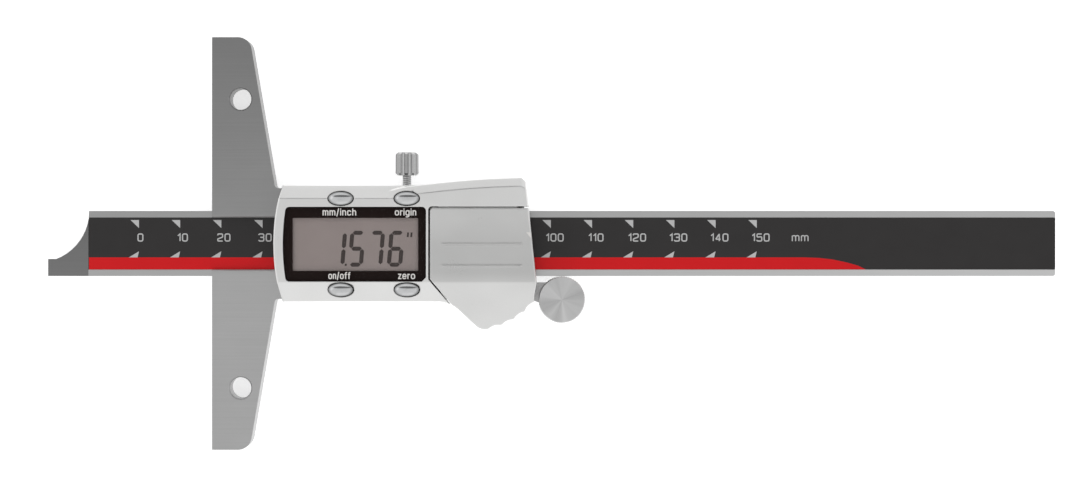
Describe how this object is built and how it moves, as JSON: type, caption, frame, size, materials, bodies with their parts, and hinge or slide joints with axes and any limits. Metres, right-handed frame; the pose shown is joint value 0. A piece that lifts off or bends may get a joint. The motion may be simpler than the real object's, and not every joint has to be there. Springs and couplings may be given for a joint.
{
  "type": "digital depth gauge",
  "caption": "Digital depth gauge: ground steel base and T-slot frame, sliding hooked beam with a printed scale, die-cast display housing, lock screw and thumb roller.",
  "frame": {"origin": "centre of the measuring face of the base, on the centre line of the beam and at half the thickness of the base", "axes": "+X along the beam, away from the measuring face; +Y across the beam, towards the lock screw; +Z out of the display, up when the gauge lies on its back"},
  "size_m": [0.2446, 0.1, 0.0158],
  "materials": {
    "ground_steel": "ground, fine lines across the arms",
    "beam_steel": "ground lengthwise",
    "satin_chrome": "satin plated die casting",
    "bright_chrome": "polished",
    "turned_steel": "turned, knurled rims",
    "screw_steel": "plated",
    "brass": "plain",
    "overlay_film": "satin print",
    "circuit_board": "solder mask",
    "window_clear": "black printed border",
    "lcd_glass": "grey liquid crystal",
    "black_plastic": "moulded",
    "rubber": "soft"
  },
  "bodies": {
    "slider": {"base_frame": "ground_steel", "gib_strip": "brass", "gib_screws": "screw_steel", "front_housing": "satin_chrome", "housing_gasket": "rubber", "housing_screws": "screw_steel", "display_window": "window_clear", "lcd_panel": "lcd_glass", "lcd_strips": "rubber", "lcd_frame": "black_plastic", "main_board": "circuit_board", "sensor_board": "circuit_board", "board_header": "black_plastic", "controller_chip": "black_plastic", "key_switches": "black_plastic", "battery_cell": "turned_steel", "negative_contact": "brass", "positive_contact": "brass", "roller_bracket": "turned_steel", "bracket_screws": "screw_steel"},
    "beam": {"beam": "beam_steel", "scale_board": "circuit_board", "scale_overlay": "overlay_film", "beam_stop_screw": "screw_steel"},
    "battery_cover": {"battery_cover": "satin_chrome", "cover_seal": "rubber"},
    "unit_button": {"unit_button": "bright_chrome"},
    "origin_button": {"origin_button": "bright_chrome"},
    "power_button": {"power_button": "bright_chrome"},
    "zero_button": {"zero_button": "bright_chrome"},
    "lock_pad": {"lock_pad": "brass"},
    "lock_screw": {"lock_screw": "turned_steel"},
    "roller": {"roller_wheel": "turned_steel", "roller_axle": "screw_steel", "roller_clip": "screw_steel"}
  },
  "joints": [
    {"name": "beam_slide", "type": "slide", "parent": "slider", "child": "beam", "axis": [-1, 0, 0], "range_m": [-0.04003, 0.10997]},
    {"name": "roller_turn", "type": "hinge", "parent": "slider", "child": "roller", "pos_m": [0.08477, -0.01365, 0.00045], "axis": [0, 0, 1], "continuous": true},
    {"name": "lock_feed", "type": "slide", "parent": "slider", "child": "lock_pad", "axis": [0, 1, 0], "range_m": [-0.00012, 0.001]},
    {"name": "lock_turn", "type": "hinge", "parent": "lock_pad", "child": "lock_screw", "pos_m": [0.04707, 0.0194, 0.00018], "axis": [0, 1, 0], "range_deg": [-87, 721]},
    {"name": "unit_button_press", "type": "slide", "parent": "slider", "child": "unit_button", "axis": [0, 0, -1], "range_m": [0, 0.0005], "stiffness_N_per_m": 600, "springref_m": -0.001},
    {"name": "origin_button_press", "type": "slide", "parent": "slider", "child": "origin_button", "axis": [0, 0, -1], "range_m": [0, 0.0005], "stiffness_N_per_m": 600, "springref_m": -0.001},
    {"name": "power_button_press", "type": "slide", "parent": "slider", "child": "power_button", "axis": [0, 0, -1], "range_m": [0, 0.0005], "stiffness_N_per_m": 600, "springref_m": -0.001},
    {"name": "zero_button_press", "type": "slide", "parent": "slider", "child": "zero_button", "axis": [0, 0, -1], "range_m": [0, 0.0005], "stiffness_N_per_m": 600, "springref_m": -0.001},
    {"name": "cover_slide", "type": "slide", "parent": "slider", "child": "battery_cover", "axis": [1, 0, 0], "range_m": [0, 0.027]}
  ],
  "couplings": [
    {"joint": "roller_turn", "follows": "beam_slide", "rad_per_m": 174.83},
    {"joint": "lock_turn", "follows": "lock_feed", "rad_per_m": 12566}
  ]
}
